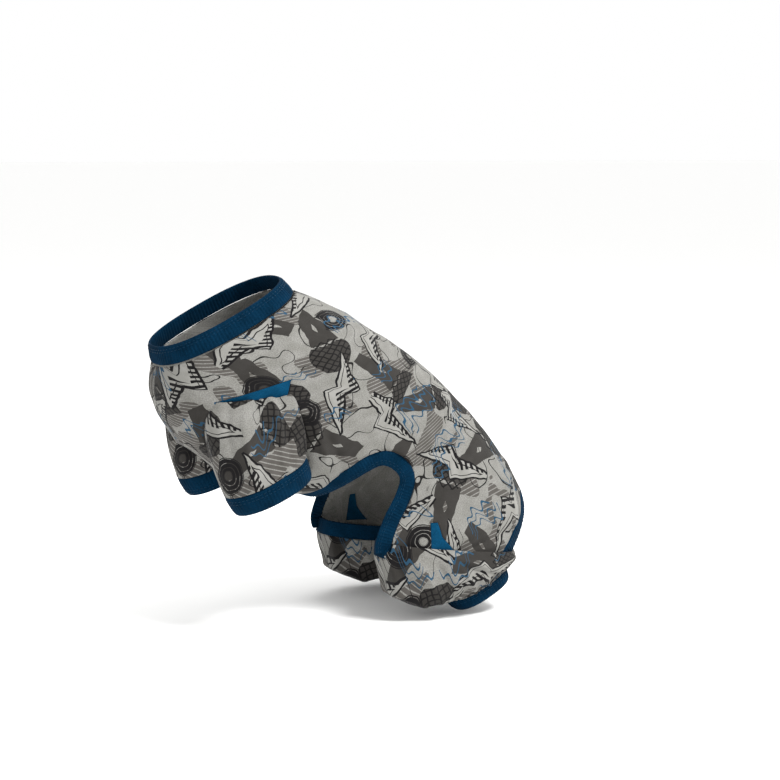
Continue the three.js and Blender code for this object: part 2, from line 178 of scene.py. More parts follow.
def surface_place(frame_of, squareness, points, samples=160):
    """Place and angle on a tube of points near its surface."""
    places = np.linspace(0, 1, samples)
    middle, _, _, _, out = frame_of(places)
    ahead = points @ out.T - np.sum(middle * out, axis=1)
    passed = ahead <= 0
    last = np.where(passed.any(1), passed.argmax(1), samples - 1).clip(1)
    index = np.arange(len(points))
    before, after = ahead[index, last - 1], ahead[index, last]
    share = np.clip(before / np.where(before == after, 1, before - after), 0, 1)
    place = (last - 1 + share) / (samples - 1)
    middle, half_width, half_length, rearward, _ = frame_of(place)
    offset = points - middle
    across = signed_power(offset[:, 0] / half_width, 1 / squareness)
    along = np.sum(offset * rearward, axis=1) / half_length
    return place, np.arctan2(across, signed_power(along, 1 / squareness))


def crease(table, points):
    """Height of a table of creases at points, by their place in the side view."""
    crest_roundness, crest_gain, slope_fall = 0.1, 0.6, 1.9
    height = np.zeros(len(points))
    for line in table:
        start, end = side_point(*line["from"])[1:], side_point(*line["to"])[1:]
        run = end - start
        offset = points[:, 1:] - start
        along = offset @ run / (run @ run)
        apart = (offset[:, 0] * run[1] - offset[:, 1] * run[0]) / np.linalg.norm(run)
        fade = np.exp(-((2 * along - 1) ** 4))
        across = np.sqrt((apart / line["width"]) ** 2 + crest_roundness)
        height += line["height"] * fade * np.exp(crest_gain - slope_fall * across)
    return height


def ripple(points, height, shortest, longest, seed):
    """Height of small seeded waves in all directions, as in cloth that was worn and washed."""
    random = np.random.default_rng(seed)
    total = np.zeros(len(points))
    waves, usual_total, full_turn = 14, 3.7, 6.28
    for _ in range(waves):
        way = random.normal(size=3)
        way *= 2 * math.pi / np.linalg.norm(way) / random.uniform(shortest, longest)
        total += np.sin(points @ way + random.uniform(0, full_turn))
    return height * total / usual_total


def points_of(bm):
    return np.array([vert.co for vert in bm.verts]) / MM


def place_points(bm, points):
    for vert, point in zip(bm.verts, points):
        vert.co = point * MM


def wall_normals(frame_of, squareness, swells, place, angle):
    """Outward normals of a tube's surface, in all its broad folds."""
    def at(p, a):
        return surface_point(frame_of, squareness, swells, p, a)

    step, turn = 0.004, 0.02
    along = at(np.clip(place + step, 0, 1), angle) - at(np.clip(place - step, 0, 1), angle)
    round_it = at(place, angle + turn) - at(place, angle - turn)
    normals = np.cross(round_it, along)
    outward = np.sign(np.sum(normals * (at(place, angle) - frame_of(place)[0]), axis=1))
    return normals * outward[:, None] / np.linalg.norm(normals, axis=1)[:, None]


def outer_sheet(node, frame_of, squareness, swells, longest):
    """The outer wall of a CAD node as a bmesh of small triangles, with each point's place on it."""
    same_spot, least_facing, rounds = 0.00001, 0.6, 6
    bm = bmesh.new()
    bm.from_mesh(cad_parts[node].data)
    bmesh.ops.remove_doubles(bm, verts=bm.verts, dist=same_spot)
    bm.normal_update()
    middles = np.array([face.calc_center_median() for face in bm.faces]) / MM
    facing = np.array([face.normal for face in bm.faces])
    place, angle = surface_place(frame_of, squareness, middles)
    outward = wall_normals(frame_of, squareness, swells, place, angle)
    is_outer = np.sum(facing * outward, axis=1) > least_facing
    hidden = [face for face, outer in zip(bm.faces, is_outer) if not outer]
    bmesh.ops.delete(bm, geom=hidden, context="FACES")
    for _ in range(rounds):
        long_edges = [edge for edge in bm.edges if edge.calc_length() > longest * MM]
        bmesh.ops.subdivide_edges(bm, edges=long_edges, cuts=1)
        cut_faces = [face for face in bm.faces if len(face.verts) > 3]
        bmesh.ops.triangulate(bm, faces=cut_faces, quad_method="SHORT_EDGE")
    place, angle = surface_place(frame_of, squareness, points_of(bm))
    place_points(bm, surface_point(frame_of, squareness, swells, place, angle))
    return bm, place, angle


def raise_points(bm, height):
    """Moves a bmesh's points along its normals by heights in millimetres."""
    bm.normal_update()
    for vert, rise in zip(bm.verts, height):
        vert.co += vert.normal * float(rise) * MM


def unrolled(frame_of, squareness, place, angle):
    """Distance round and along a tube, in millimetres, of each point: a flat pattern of its cloth."""
    rows, columns = 60, 240
    places = np.linspace(0, 1, rows + 1)
    angles = np.linspace(-math.pi, math.pi, columns + 1)
    grid = surface_point(frame_of, squareness, [], places[:, None], angles[None, :])
    steps = np.linalg.norm(np.diff(grid, axis=1), axis=2)
    round_it = np.concatenate([np.zeros((rows + 1, 1)), np.cumsum(steps, axis=1)], axis=1)
    round_it -= round_it[:, columns // 2, None]
    middles = frame_of(places)[0]
    along = np.concatenate([[0], np.cumsum(np.linalg.norm(np.diff(middles, axis=0), axis=1))])
    column = (angle + math.pi) / (2 * math.pi) * columns
    left = np.clip(column.astype(int), 0, columns - 1)
    row = np.clip((place * rows).astype(int), 0, rows - 1)
    across, down = column - left, place * rows - row
    upper = round_it[row, left] * (1 - across) + round_it[row, left + 1] * across
    lower = round_it[row + 1, left] * (1 - across) + round_it[row + 1, left + 1] * across
    return upper * (1 - down) + lower * down, np.interp(place, places, along)


def object_of(bm, name, materials):
    """Turns a bmesh into an object of the scene."""
    mesh = bpy.data.meshes.new(name)
    bm.to_mesh(mesh)
    bm.free()
    for material in materials:
        mesh.materials.append(material)
    piece = bpy.data.objects.new(name, mesh)
    bpy.context.scene.collection.objects.link(piece)
    return piece


def finish_piece(bm, name, materials, u, v, wall):
    """Makes an object of a bmesh with a UV map in metres, and gives the single sheet its wall.
    materials are those of its face and, if it has one, of its back."""
    layer = bm.loops.layers.uv.new("cloth")
    bm.verts.index_update()
    for face in bm.faces:
        face.smooth = True
        for loop in face.loops:
            index = loop.vert.index
            loop[layer].uv = (u[index] * MM, v[index] * MM)
    piece = object_of(bm, name, materials)
    solidify = piece.modifiers.new("cloth wall", "SOLIDIFY")
    solidify.thickness = wall * MM
    solidify.offset = -1
    solidify.material_offset = len(materials) - 1
    return piece


def linear(hex_colour):
    """Linear colour of an sRGB hex value."""
    parts = [int(hex_colour[i : i + 2], 16) / 255 for i in (1, 3, 5)]
    return tuple(c / 12.92 if c <= 0.04045 else ((c + 0.055) / 1.055) ** 2.4 for c in parts) + (1,)


def add(tree, kind, inputs=(), **settings):
    """Adds a node with its settings. inputs maps sockets to values or to other nodes' outputs."""
    node = tree.nodes.new(kind)
    for name, value in settings.items():
        setattr(node, name, value)
    for name, value in dict(inputs).items():
        if isinstance(value, bpy.types.NodeSocket):
            tree.links.new(value, node.inputs[name])
        else:
            node.inputs[name].default_value = value
    return node


# Heather grey cotton jersey, pigment printed: a matt, faintly hairy knit of pale and dark fibres
# under a print that soaks in and leaves no edge. The print is a generic one of microphones, zigzag
# bolts, records and loose pen lines. Wales and courses are drawn coarser than real, to show.
wale_spacing = 1.4
course_spacing = 1.2
pen_tremble = 4.5
fibre_dark, fibre_pale = "#72716D", "#8A8985"
print_motifs = {
    "mic": {"spacing": 61, "shift": (11, 23, 0), "loose": 0.5, "turn": 1.3},
    "bolt": {"spacing": 63, "shift": (-17, 58, 0), "loose": 0.6, "turn": 2.4},
    "disc": {"spacing": 50, "shift": (41, -9, 0), "loose": 0.75, "turn": 0.0},
}
# Each step is a name, an operation and its inputs: a number or an earlier step. Lengths are mm.
print_steps = [
    # Microphone: a round head, a collar and a tapered handle.
    ("head_x", "SUBTRACT", "mic_x", 21),
    ("head_xx", "MULTIPLY", "head_x", "head_x"),
    ("head_rr", "MULTIPLY_ADD", "mic_y", "mic_y", "head_xx"),
    ("head_r", "SQRT", "head_rr"),
    ("head", "LESS_THAN", "head_r", 17),
    ("mic_side", "ABSOLUTE", "mic_y"),
    ("mic_half", "MULTIPLY_ADD", "mic_x", 0.14, 10.0),
    ("in_handle", "LESS_THAN", "mic_side", "mic_half"),
    ("mic_along", "ADD", "mic_x", 13),
    ("mic_reach", "ABSOLUTE", "mic_along"),
    ("handle_end", "LESS_THAN", "mic_reach", 29),
    ("handle", "MULTIPLY", "in_handle", "handle_end"),
    ("mic_whole", "MAXIMUM", "head", "handle"),
    ("collar_x", "SUBTRACT", "mic_x", 8.5),
    ("collar_reach", "ABSOLUTE", "collar_x"),
    ("off_collar", "GREATER_THAN", "collar_reach", 1.0),
    ("button_x", "ADD", "mic_x", 10),
    ("button_reach", "ABSOLUTE", "button_x"),
    ("button_y", "MULTIPLY_ADD", "mic_side", 2.5, "button_reach"),
    ("off_button", "GREATER_THAN", "button_y", 4.5),
    ("mic_marks", "MULTIPLY", "off_collar", "off_button"),
    ("mic_ink", "MULTIPLY", "mic_whole", "mic_marks"),
    ("mesh_a", "MULTIPLY_ADD", "mic_y", 0.9, "mic_x"),
    ("mesh_b", "MULTIPLY_ADD", "mic_y", -0.9, "mic_x"),
    ("mesh_a_wave", "SINE", "mesh_a"),
    ("mesh_b_wave", "SINE", "mesh_b"),
    ("mesh_high", "MAXIMUM", "mesh_a_wave", "mesh_b_wave"),
    ("mesh_line", "GREATER_THAN", "mesh_high", 0.72),
    ("mesh_ink", "MULTIPLY", "mesh_line", "head"),
    # Bolt: two slanted halves that taper to points, outlined and left pale inside.
    ("bolt_step_a", "DIVIDE", "bolt_x", 3.5),
    ("bolt_step_b", "MINIMUM", "bolt_step_a", 1),
    ("bolt_step", "MAXIMUM", "bolt_step_b", -1),
    ("bolt_slant", "MULTIPLY_ADD", "bolt_x", -0.4, "bolt_y"),
    ("bolt_mid", "MULTIPLY_ADD", "bolt_step", 6.5, "bolt_slant"),
    ("bolt_side", "ABSOLUTE", "bolt_mid"),
    ("bolt_far", "ABSOLUTE", "bolt_x"),
    ("bolt_half", "MULTIPLY_ADD", "bolt_far", -0.25, 10.0),
    ("bolt_gap", "SUBTRACT", "bolt_side", "bolt_half"),
    ("bolt_inside", "LESS_THAN", "bolt_gap", 0.5),
    ("bolt_edge", "ABSOLUTE", "bolt_gap"),
    ("bolt_line", "LESS_THAN", "bolt_edge", 0.8),
    ("bolt_deep", "ADD", "bolt_gap", 3.4),
    ("bolt_deep_edge", "ABSOLUTE", "bolt_deep"),
    ("bolt_inner", "LESS_THAN", "bolt_deep_edge", 0.35),
    ("bolt_hatch", "MULTIPLY_ADD", "bolt_y", 1.1, "bolt_x"),
    ("bolt_hatch_wave", "SINE", "bolt_hatch"),
    ("bolt_hatch_line", "GREATER_THAN", "bolt_hatch_wave", -0.1),
    ("bolt_half_side", "GREATER_THAN", "bolt_mid", 1.2),
    ("bolt_hatch_in", "MULTIPLY", "bolt_hatch_line", "bolt_half_side"),
    ("bolt_hatch_ink", "MULTIPLY", "bolt_hatch_in", "bolt_inside"),
    ("bolt_lines", "MAXIMUM", "bolt_line", "bolt_inner"),
    ("bolt_shown", "MAXIMUM", "bolt_lines", "bolt_hatch_ink"),
    # Record: a black disc with rings and a pale label, on about half of its places.
    ("disc_xx", "MULTIPLY", "disc_x", "disc_x"),
    ("disc_rr", "MULTIPLY_ADD", "disc_y", "disc_y", "disc_xx"),
    ("disc_r", "SQRT", "disc_rr"),
    ("disc_in", "LESS_THAN", "disc_r", 13),
    ("disc_picked", "GREATER_THAN", "disc_pick", 0.5),
    ("disc_here", "MULTIPLY", "disc_in", "disc_picked"),
    ("disc_turns", "MULTIPLY", "disc_r", 2.2),
    ("disc_wave", "SINE", "disc_turns"),
    ("disc_rings", "LESS_THAN", "disc_wave", 0.93),
    ("disc_label", "GREATER_THAN", "disc_r", 3.2),
    ("disc_marks", "MULTIPLY", "disc_rings", "disc_label"),
    ("disc_ink", "MULTIPLY", "disc_here", "disc_marks"),
    # Pen lines: groups of three wavy blue lines, black contours of slow noise and grey smudges, each
    # kept to some parts of the cloth.
    ("long_turn", "MULTIPLY", "cloth_u", 2 * math.pi / 37),
    ("short_turn", "MULTIPLY_ADD", "cloth_u", 2 * math.pi / 13.7, "long_turn"),
    ("long_wave", "SINE", "long_turn"),
    ("short_wave", "SINE", "short_turn"),
    ("waved", "MULTIPLY_ADD", "long_wave", 7, "cloth_v"),
    ("wavy", "MULTIPLY_ADD", "short_wave", 2.6, "waved"),
    ("blue_field", "MULTIPLY_ADD", "blue_height", 46, "wavy"),
    ("blue_row", "WRAP", "blue_field", 54, 0),
    ("blue_first", "COMPARE", "blue_row", 12, 0.8),
    ("blue_second", "COMPARE", "blue_row", 18, 0.6),
    ("blue_third", "COMPARE", "blue_row", 25, 0.7),
    ("blue_two", "MAXIMUM", "blue_first", "blue_second"),
    ("blue_all", "MAXIMUM", "blue_two", "blue_third"),
    ("blue_kept", "GREATER_THAN", "patches", 0.52),
    ("blue_ink", "MULTIPLY", "blue_all", "blue_kept"),
    ("smudge", "GREATER_THAN", "smudge_height", 0.54),
    ("smudge_lines", "MULTIPLY_ADD", "cloth_v", 1.7, "cloth_u"),
    ("smudge_wave", "SINE", "smudge_lines"),
    ("smudge_stroke", "GREATER_THAN", "smudge_wave", -0.75),
    ("smudge_ink", "MULTIPLY", "smudge", "smudge_stroke"),
    ("pen_from", "SUBTRACT", "pen_height", 0.47),
    ("pen_apart", "ABSOLUTE", "pen_from"),
    ("pen_line", "LESS_THAN", "pen_apart", 0.008),
    ("pen_kept", "LESS_THAN", "patches", 0.56),
    ("pen_ink", "MULTIPLY", "pen_line", "pen_kept"),
    # Knit: upright wales with a chevron of stitches on each.
    ("wale", "DIVIDE", "cloth_u", wale_spacing),
    ("wale_share", "FRACT", "wale"),
    ("wale_from", "SUBTRACT", "wale_share", 0.5),
    ("wale_side", "ABSOLUTE", "wale_from"),
    ("course", "DIVIDE", "cloth_v", course_spacing),
    ("stitch_slant", "MULTIPLY_ADD", "wale_side", 1.6, "course"),
    ("stitch_turn", "MULTIPLY", "stitch_slant", 2 * math.pi),
    ("stitch_wave", "SINE", "stitch_turn"),
    ("stitch_height", "MULTIPLY_ADD", "wale_side", -2.2, "stitch_wave"),
]


def start_material(name, finish):
    """A new material and its shader, with the values of its finish."""
    material = bpy.data.materials.new(name)
    material.use_nodes = True
    shader = material.node_tree.nodes["Principled BSDF"]
    for socket, value in finish.items():
        shader.inputs[socket].default_value = value
    return material, shader


def cloth_in_mm(tree):
    """The cloth's own pattern places in millimetres, whole and split into u and v."""
    pattern = add(tree, "ShaderNodeUVMap", uv_map="cloth").outputs[0]
    per_mm = (1 / MM, 1 / MM, 1 / MM)
    cloth = add(tree, "ShaderNodeVectorMath", {0: pattern, 1: per_mm}, operation="MULTIPLY").outputs[0]
    flat = add(tree, "ShaderNodeSeparateXYZ", {0: cloth})
    return cloth, flat.outputs[0], flat.outputs[1]


def printed_jersey(name, shown):
    """The jersey's material: heather fibres, the printed layers over them and a knit bump.
    shown is how much of the print shows: all on the face, and a trace on the wrong side."""
    material, shader = start_material(
        name,
        {"Roughness": 0.92, "Specular IOR Level": 0.08, "Sheen Weight": 0.06, "Sheen Roughness": 0.45},
    )
    tree = material.node_tree
    cloth, cloth_u, cloth_v = cloth_in_mm(tree)
    values = {"cloth_u": cloth_u, "cloth_v": cloth_v}
    tremble = add(tree, "ShaderNodeTexNoise", {"Vector": cloth, "Scale": 0.09, "Detail": 1.0})
    drawn = add(
        tree,
        "ShaderNodeVectorMath",
        {0: tremble.outputs["Color"], 1: (pen_tremble, pen_tremble, 0), 2: cloth},
        operation="MULTIPLY_ADD",
    ).outputs[0]
    for motif, layout in print_motifs.items():
        moved = add(tree, "ShaderNodeVectorMath", {0: drawn, 1: layout["shift"]}, operation="ADD")
        cells = add(
            tree,
            "ShaderNodeTexVoronoi",
            {"Vector": moved.outputs[0], "Scale": 1 / layout["spacing"], "Randomness": layout["loose"]},
            voronoi_dimensions="2D",
        )
        chance = add(tree, "ShaderNodeSeparateColor", {0: cells.outputs["Color"]})
        local = add(
            tree,
            "ShaderNodeVectorMath",
            {0: moved.outputs[0], 1: cells.outputs["Position"]},
            operation="SUBTRACT",
        )
        turn = add(
            tree,
            "ShaderNodeMath",
            {0: chance.outputs[0], 1: 2 * math.pi, 2: layout["turn"]},
            operation="MULTIPLY_ADD",
        )
        turned = add(
            tree,
            "ShaderNodeVectorRotate",
            {"Vector": local.outputs[0], "Angle": turn.outputs[0]},
            rotation_type="Z_AXIS",
        )
        place = add(tree, "ShaderNodeSeparateXYZ", {0: turned.outputs[0]})
        values[motif + "_x"], values[motif + "_y"] = place.outputs[0], place.outputs[1]
        values[motif + "_pick"] = chance.outputs[1]
    # Scales are per millimetre, so that 0.02 makes patches about 50 mm across and 1.1 shows fibres.
    noises = {
        "blue_height": {"Scale": 0.022, "Detail": 0.5, "Distortion": 0.2},
        "pen_height": {"Scale": 0.041, "Detail": 0.6, "Distortion": 0.3},
        "smudge_height": {"Scale": 0.026, "Detail": 1.0, "Distortion": 0.6},
        "patches": {"Scale": 0.02, "Detail": 0.0, "Distortion": 0.0},
        "wash": {"Scale": 0.09, "Detail": 4.0, "Distortion": 0.0},
        "fibre": {"Scale": 1.1, "Detail": 3.0, "Distortion": 0.0},
    }
    for name, settings in noises.items():
        values[name] = add(tree, "ShaderNodeTexNoise", {"Vector": cloth, **settings}).outputs["Fac"]
    for name, operation, *inputs in print_steps:
        wired = {place: values.get(value, value) for place, value in enumerate(inputs)}
        values[name] = add(tree, "ShaderNodeMath", wired, operation=operation).outputs[0]
    fibres = add(tree, "ShaderNodeMapRange", {0: values["fibre"], 1: 0.36, 2: 0.64})
    shade = add(tree, "ShaderNodeMapRange", {0: values["wash"], 1: 0.35, 2: 0.65})
    heather = add(
        tree,
        "ShaderNodeMix",
        {"Factor": fibres.outputs[0], 6: linear(fibre_dark), 7: linear(fibre_pale)},
        data_type="RGBA",
    ).outputs[2]
    layers = [
        ("smudge_ink", "#524F4C"),
        ("pen_ink", "#1E1D1D"),
        ("mic_ink", "#353331"),
        ("mesh_ink", "#191818"),
        ("disc_ink", "#181718"),
        ("bolt_inside", fibre_pale),
        ("bolt_shown", "#171617"),
        ("blue_ink", "#28465C"),
    ]
    printed = heather
    for cover, ink in layers:
        wired = {"Factor": values[cover], 6: printed, 7: linear(ink)}
        printed = add(tree, "ShaderNodeMix", wired, data_type="RGBA").outputs[2]
    colour = add(
        tree, "ShaderNodeMix", {"Factor": shown, 6: heather, 7: printed}, data_type="RGBA"
    ).outputs[2]
    worn = add(
        tree,
        "ShaderNodeMix",
        {"Factor": shade.outputs[0], 6: linear("#EAEAE8"), 7: linear("#FFFFFF")},
        data_type="RGBA",
    )
    worn_colour = add(
        tree,
        "ShaderNodeMix",
        {"Factor": 1.0, 6: colour, 7: worn.outputs[2]},
        data_type="RGBA",
        blend_type="MULTIPLY",
    )
    tree.links.new(worn_colour.outputs[2], shader.inputs["Base Color"])
    knit = add(
        tree, "ShaderNodeBump", {"Strength": 0.35, "Distance": 0.2 * MM, "Height": values["stitch_height"]}
    )
    tree.links.new(knit.outputs[0], shader.inputs["Normal"])
    return material


jersey = [
    printed_jersey("printed_cotton_jersey", 1.0),
    printed_jersey("cotton_jersey_wrong_side", 0.14),
]


bm, place, angle = outer_sheet("body", body_frame, body_squareness, body_swells, longest=3.4)
points = points_of(bm)
raise_points(bm, crease(body_creases, points) + ripple(points, **body_ripple))
u, v = unrolled(body_frame, body_squareness, place, angle)
body = finish_piece(bm, "jersey_body", jersey, u, v, jersey_shown)
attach(body, "root")
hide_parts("body")

# The sleeves are short jersey tubes, set into the armholes over the body's edge. They stand out as
# they do when worn, and hang in soft upright folds to the cuffs. The first of their broad folds
# presses a sleeve's head on to the shoulder.
sleeve_length, sleeve_height, sleeve_thickness = 60, 104, 54
sleeve_squareness = 0.95
sleeve_start = {"run": -0.56, "drop": 0.17}
sleeve_sections = [
    {"side": 0.5, "front": 0.06, "front_down": 0.02, "rear": 0.94, "rear_down": -0.06, "thick": 0.98},
    {"side": 0.6, "front": -0.1, "front_down": 0.28, "rear": 1.02, "rear_down": 0.14, "thick": 1.0},
    {"side": 0.69, "front": -0.16, "front_down": 0.52, "rear": 1.08, "rear_down": 0.34, "thick": 1.02},
    {"side": 0.78, "front": -0.1, "front_down": 0.77, "rear": 1.13, "rear_down": 0.54, "thick": 1.0},
    {"side": 0.85, "front": 0.05, "front_down": 1.02, "rear": 1.11, "rear_down": 0.74, "thick": 0.98},
]
sleeve_swells = [
    {"place": 0.33, "angle": 95, "reach": 0.13, "spread": 48, "height": -8.4},
    {"place": 0.6, "angle": 52, "reach": 0.5, "spread": 14, "height": 1.6},
    {"place": 0.7, "angle": 84, "reach": 0.4, "spread": 12, "height": -1.5},
    {"place": 0.5, "angle": 118, "reach": 0.5, "spread": 15, "height": 1.4},
]
# Finer upright folds of the sleeve: angle round it in degrees, half width and height.
sleeve_folds = [
    {"angle": 24, "spread": 5, "height": -1.6},
    {"angle": 38, "spread": 6, "height": 2.3},
    {"angle": 62, "spread": 5, "height": -2.0},
    {"angle": 74, "spread": 5, "height": 2.1},
    {"angle": 98, "spread": 6, "height": -1.7},
    {"angle": 112, "spread": 5, "height": 1.6},
    {"angle": 132, "spread": 6, "height": -1.4},
]
# The folds die out towards the cuff over this share of the sleeve.
sleeve_settles = 0.12
sleeve_ripple = {"height": 0.2, "shortest": 14, "longest": 40, "seed": 11}
# Where the sleeve is cut from the printed cloth.
sleeve_cut_u, sleeve_cut_v = 300, 52


def limb_frame(sections, start, width, length, height, thickness):
    """Frame function of a limb's rings, by the table of their front and rear points."""
    origin = side_point(start["run"], start["drop"])

    def frame_of(place):
        def end(name):
            along = column_at(sections, name, place) * length
            down = column_at(sections, name + "_down", place) * height
            return origin + np.stack([0 * along, along, -down], -1)

        front, rear = end("front"), end("rear")
        span = np.linalg.norm(rear - front, axis=-1)
        rearward = (rear - front) / span[..., None]
        middle = (front + rear) / 2
        middle[..., 0] = column_at(sections, "side", place) * width / 2
        half_thickness = column_at(sections, "thick", place) * thickness / 2
        out = np.stack([0 * span, rearward[..., 2], -rearward[..., 1]], -1)
        return middle, half_thickness, span / 2, rearward, out

    return frame_of


sleeve_frame = limb_frame(
    sleeve_sections, sleeve_start, chest_width, sleeve_length, sleeve_height, sleeve_thickness
)


def ring_folds(table, place, angle):
    """Height of folds that run the length of a limb, each at its angle."""
    degrees = np.degrees(np.abs(angle))
    height = 0 * degrees
    sway, sways = 5, 3
    for fold in table:
        wander = degrees - fold["angle"] - sway * np.sin(sways * place + fold["angle"])
        height = height + fold["height"] * np.exp(-((wander / fold["spread"]) ** 2))
    return height


def mirrored(bm):
    """Turns the left piece's bmesh into the right one's."""
    for vert in bm.verts:
        vert.co.x = -vert.co.x
    bmesh.ops.reverse_faces(bm, faces=bm.faces)


for side in ("left", "right"):
    bm, place, angle = outer_sheet(
        "front_sleeve_left", sleeve_frame, sleeve_squareness, sleeve_swells, longest=2.4
    )
    points = points_of(bm)
    settled = np.clip((1 - place) / sleeve_settles, 0, 1)
    height = ring_folds(sleeve_folds, place, angle) + ripple(points, **sleeve_ripple)
    raise_points(bm, settled * height)
    u, v = unrolled(sleeve_frame, sleeve_squareness, place, angle)
    if side == "right":
        mirrored(bm)
        u = -u
    sleeve = finish_piece(
        bm, f"jersey_sleeve_{side}", jersey, u + sleeve_cut_u, v + sleeve_cut_v, jersey_shown
    )
    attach(sleeve, "root")
    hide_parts(f"front_sleeve_{side}")

# The lower legs are jersey tubes folded up at the knee and drawn in towards the hock, so the
# cloth gathers into many small creases along the bottom.
leg_length, leg_height, leg_thickness = 122, 56, 54
leg_squareness = 0.78
leg_start = {"run": 0.038, "drop": 1.04}
leg_sections = [
    {"side": 0.66, "front": 0.07, "front_down": -0.1, "rear": 0.99, "rear_down": 0.1, "thick": 1.02},
    {"side": 0.68, "front": 0.04, "front_down": 0.18, "rear": 1.01, "rear_down": 0.22, "thick": 1.06},
    {"side": 0.69, "front": 0.06, "front_down": 0.46, "rear": 1.02, "rear_down": 0.29, "thick": 1.08},
    {"side": 0.69, "front": 0.14, "front_down": 0.75, "rear": 1.02, "rear_down": 0.34, "thick": 1.06},
    {"side": 0.685, "front": 0.28, "front_down": 0.93, "rear": 1.015, "rear_down": 0.385, "thick": 1.0},
    {"side": 0.68, "front": 0.43, "front_down": 0.94, "rear": 0.99, "rear_down": 0.42, "thick": 0.9},
    {"side": 0.675, "front": 0.55, "front_down": 0.915, "rear": 0.955, "rear_down": 0.455, "thick": 0.78},
]
leg_swells = [
    {"place": 0.55, "angle": 60, "reach": 0.12, "spread": 40, "height": 2.0},
    {"place": 0.72, "angle": 96, "reach": 0.09, "spread": 34, "height": -2.2},
    {"place": 0.8, "angle": 130, "reach": 0.12, "spread": 14, "height": 2.4},
    {"place": 0.8, "angle": 162, "reach": 0.12, "spread": 12, "height": -2.2},
    {"place": 0.35, "angle": 150, "reach": 0.14, "spread": 20, "height": -1.6},
]
leg_creases = [
    {"from": (0.05, 1.1), "to": (0.09, 1.27), "height": -2.2, "width": 3.0},
    {"from": (0.075, 1.1), "to": (0.13, 1.31), "height": 2.0, "width": 3.0},
    {"from": (0.1, 1.14), "to": (0.2, 1.3), "height": -2.9, "width": 3.3},
    {"from": (0.15, 1.1), "to": (0.28, 1.32), "height": 3.1, "width": 3.3},
    {"from": (0.24, 1.12), "to": (0.36, 1.34), "height": -3.1, "width": 3.3},
    {"from": (0.34, 1.16), "to": (0.46, 1.34), "height": 3.2, "width": 3.3},
    {"from": (0.3, 1.1), "to": (0.56, 1.22), "height": 2.9, "width": 3.8},
    {"from": (0.36, 1.15), "to": (0.6, 1.24), "height": -3.1, "width": 3.3},
    {"from": (0.42, 1.22), "to": (0.58, 1.3), "height": 2.9, "width": 2.8},
    {"from": (0.08, 1.24), "to": (0.3, 1.38), "height": 2.7, "width": 3.3},
    {"from": (0.1, 1.32), "to": (0.32, 1.44), "height": -2.6, "width": 2.8},
]
leg_settles = 0.1
leg_ripple = {"height": 0.45, "shortest": 10, "longest": 30, "seed": 23}
leg_cut_u, leg_cut_v = 615, 40
leg_frame = limb_frame(leg_sections, leg_start, hip_width, leg_length, leg_height, leg_thickness)
for side in ("left", "right"):
    bm, place, angle = outer_sheet(
        "hind_leg_left", leg_frame, leg_squareness, leg_swells, longest=2.2
    )
    points = points_of(bm)
    settled = np.clip((1 - place) / leg_settles, 0, 1)
    height = crease(leg_creases, points) + ripple(points, **leg_ripple)
    raise_points(bm, settled * height)
    u, v = unrolled(leg_frame, leg_squareness, place, angle)
    if side == "right":
        mirrored(bm)
        u = -u
    leg = finish_piece(
        bm, f"jersey_lower_leg_{side}", jersey, u + leg_cut_u, v + leg_cut_v, jersey_shown
    )
    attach(leg, "root")
    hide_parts(f"hind_leg_{side}")

# The neck band is a doubled strip of 2 x 2 rib knit, sewn round the neck and folded over at its top
# edge, so it is thicker than the jersey and draws in a little. Its ribs run up the band.
trim_wall = 2.6
trim_spread = (trim_wall - jersey_wall) / 2
# How far the middle of a trim's wall lies out from the jersey's outer face.
trim_middle = trim_spread - trim_wall / 2
sewn_gap = 0.3
neck_band_depth, neck_band_taper = 15, 5
rib_pitch, rib_depth = 2.8, 0.4
# A strip's section: how much its middle stands up, and how square its sides and its faces are.
rib_crown, side_squareness, face_squareness = 0.35, 0.6, 0.75


def rib_knit(name, deep, pale):
    """Cotton and elastane rib knit, piece dyed: a deep matt blue, paler where the fibres lift, with
    a course of small stitches across each rib. Courses are drawn coarser than real, to show."""
    course_height = 1.1
    material, shader = start_material(
        name,
        {"Roughness": 0.88, "Specular IOR Level": 0.03, "Sheen Weight": 0.02, "Sheen Roughness": 0.4},
    )
    tree = material.node_tree
    cloth, cloth_u, cloth_v = cloth_in_mm(tree)
    lint = add(tree, "ShaderNodeTexNoise", {"Vector": cloth, "Scale": 0.9, "Detail": 3.0})
    wash = add(tree, "ShaderNodeTexNoise", {"Vector": cloth, "Scale": 0.08, "Detail": 2.0})
    both = add(tree, "ShaderNodeMath", {0: lint.outputs["Fac"], 1: wash.outputs["Fac"]})
    spread = add(tree, "ShaderNodeMapRange", {0: both.outputs[0], 1: 0.75, 2: 1.3})
    dyed = add(
        tree,
        "ShaderNodeMix",
        {"Factor": spread.outputs[0], 6: linear(deep), 7: linear(pale)},
        data_type="RGBA",
    )
    tree.links.new(dyed.outputs[2], shader.inputs["Base Color"])
    course = add(
        tree,
        "ShaderNodeMath",
        {0: cloth_v, 1: 2 * math.pi / course_height, 2: cloth_u},
        operation="MULTIPLY_ADD",
    )
    wave = add(tree, "ShaderNodeMath", {0: course.outputs[0]}, operation="SINE")
    relief = add(
        tree,
        "ShaderNodeMath",
        {0: lint.outputs["Fac"], 1: 1.5, 2: wave.outputs[0]},
        operation="MULTIPLY_ADD",
    )
    knit = add(
        tree, "ShaderNodeBump", {"Strength": 0.4, "Distance": 0.2 * MM, "Height": relief.outputs[0]}
    )
    tree.links.new(knit.outputs[0], shader.inputs["Normal"])
    return material


rib_blue = rib_knit("rib_knit_navy_teal", "#011A2B", "#04273E")


